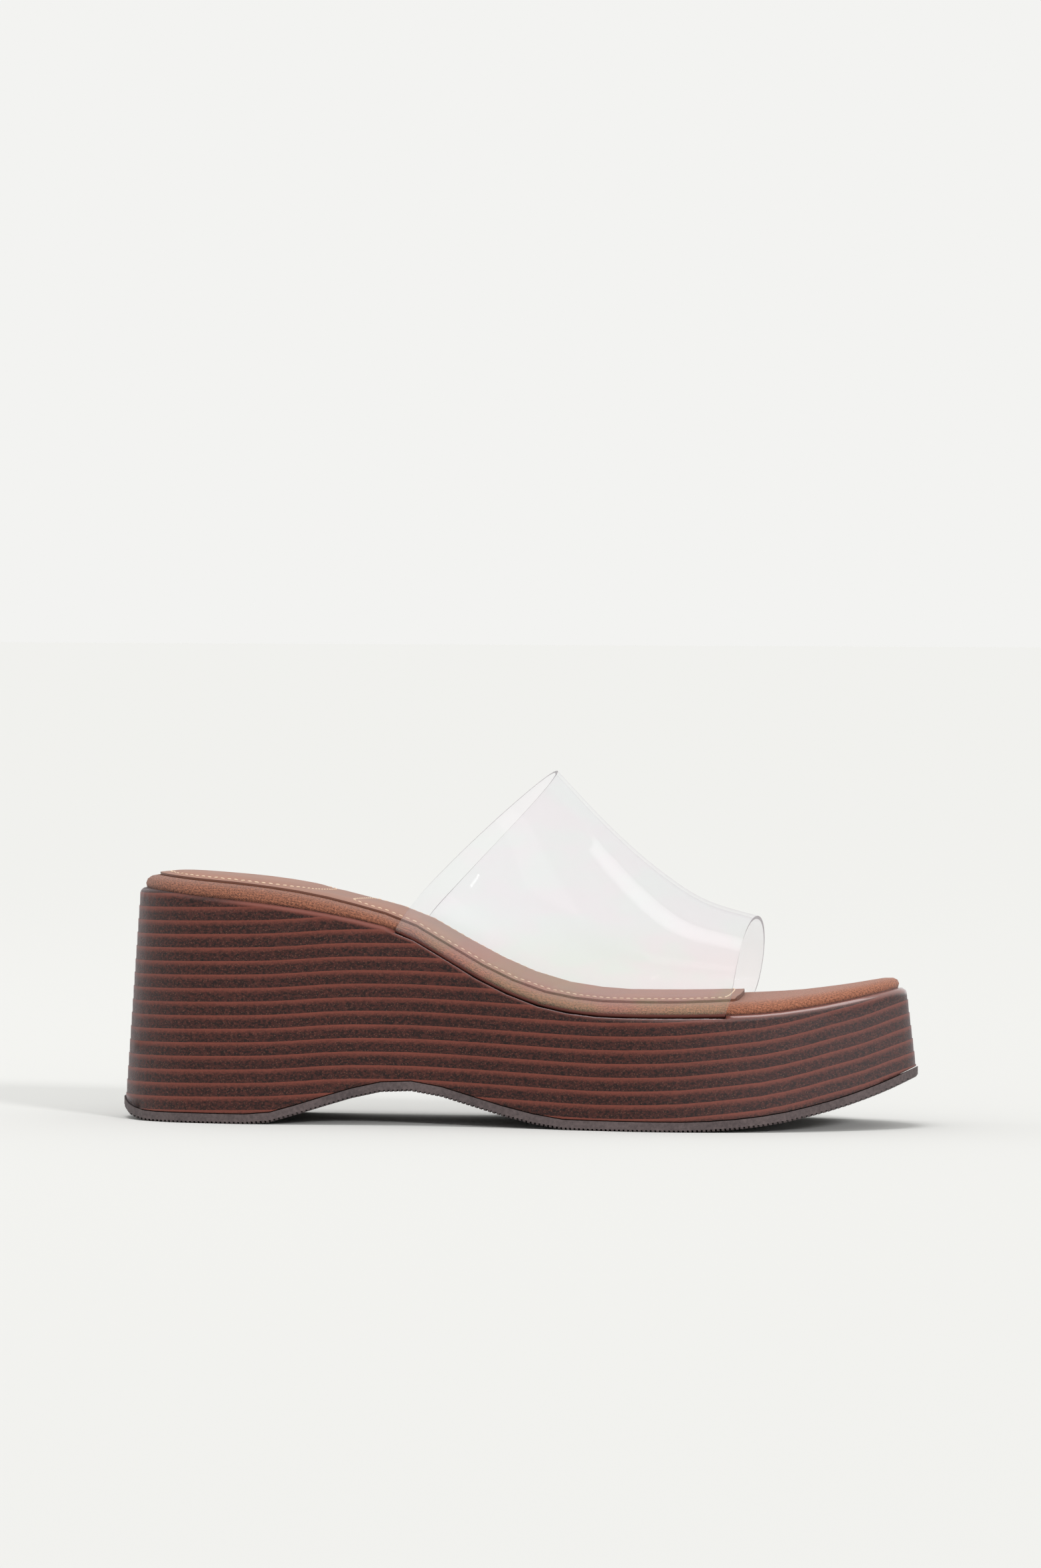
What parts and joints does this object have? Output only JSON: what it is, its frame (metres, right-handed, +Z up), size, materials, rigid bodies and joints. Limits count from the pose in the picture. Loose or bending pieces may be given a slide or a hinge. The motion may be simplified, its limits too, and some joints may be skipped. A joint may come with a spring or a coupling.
{
  "type": "wedge slide sandal",
  "caption": "Right-foot slide sandal on a stacked wedge with a platform toe, a covered footbed with a sock and one wide clear band over the forefoot.",
  "frame": {"origin": "on the ground, under the middle of the sole's length and width", "axes": "+X to the toe, +Y to the inner side of the right foot, +Z up"},
  "size_m": [0.25, 0.088, 0.11],
  "materials": {
    "outsole": "dull taupe-grey rubber with fine cross ribs underneath",
    "wedge": "satin dark brown grain with a rust-red line on each lift",
    "footbed": "tan-brown woven cloth with a soft nap",
    "sock": "smooth brown lining leather, lightly polished",
    "band": "clear soft plastic sheet, glossy, faintly lavender"
  },
  "bodies": {
    "root": {"outsole": "outsole", "wedge": "wedge", "footbed": "footbed", "sock": "sock", "band": "band"}
  },
  "joints": []
}
